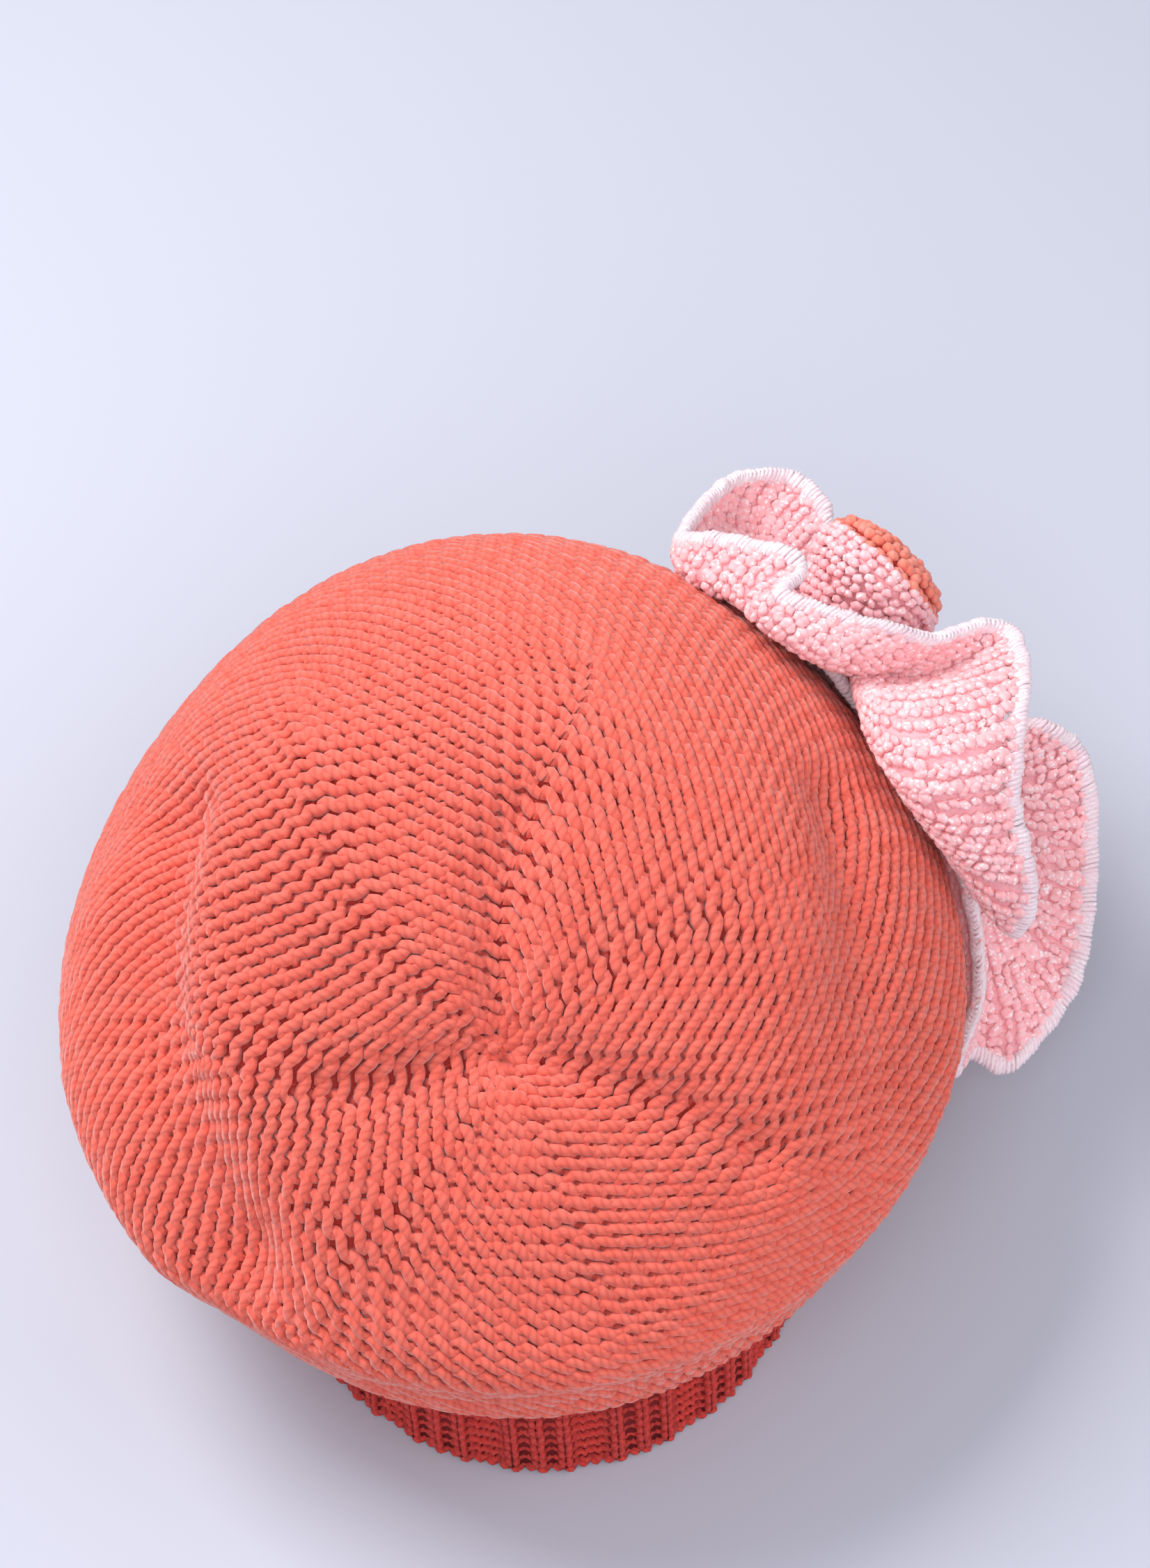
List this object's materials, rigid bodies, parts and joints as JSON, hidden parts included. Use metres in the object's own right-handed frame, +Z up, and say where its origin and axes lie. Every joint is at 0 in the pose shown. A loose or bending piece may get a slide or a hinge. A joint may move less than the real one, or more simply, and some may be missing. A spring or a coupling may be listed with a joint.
{
  "type": "slouch beanie with crochet flower",
  "caption": "Oversized slouch beanie: a knitted bag gathered on a ribbed band, with a ruffled crochet flower on one side. Worn on the head.",
  "frame": {"origin": "middle of the hat's overall box, on the surface the band's rim rests on", "axes": "+Z up through the crown, -Y the way the wearer faces, -X towards the flower"},
  "size_m": [0.2951, 0.2752, 0.1643],
  "materials": {
    "bag_yarn": "fuzzy knitted yarn, coral",
    "band_yarn": "fuzzy ribbed yarn, deep rose coral",
    "frill_yarn": "crochet yarn with a fine sparkle, pale pink",
    "edging_yarn": "fuzzy twisted yarn, white",
    "heart_yarn": "crochet yarn, coral"
  },
  "bodies": {
    "root": {"slouch_bag": "bag_yarn", "rib_band": "band_yarn", "flower_frill_lower": "frill_yarn", "flower_frill_upper": "frill_yarn", "flower_edging_lower": "edging_yarn", "flower_edging_upper": "edging_yarn", "flower_bud": "frill_yarn", "flower_heart": "heart_yarn"}
  },
  "joints": []
}
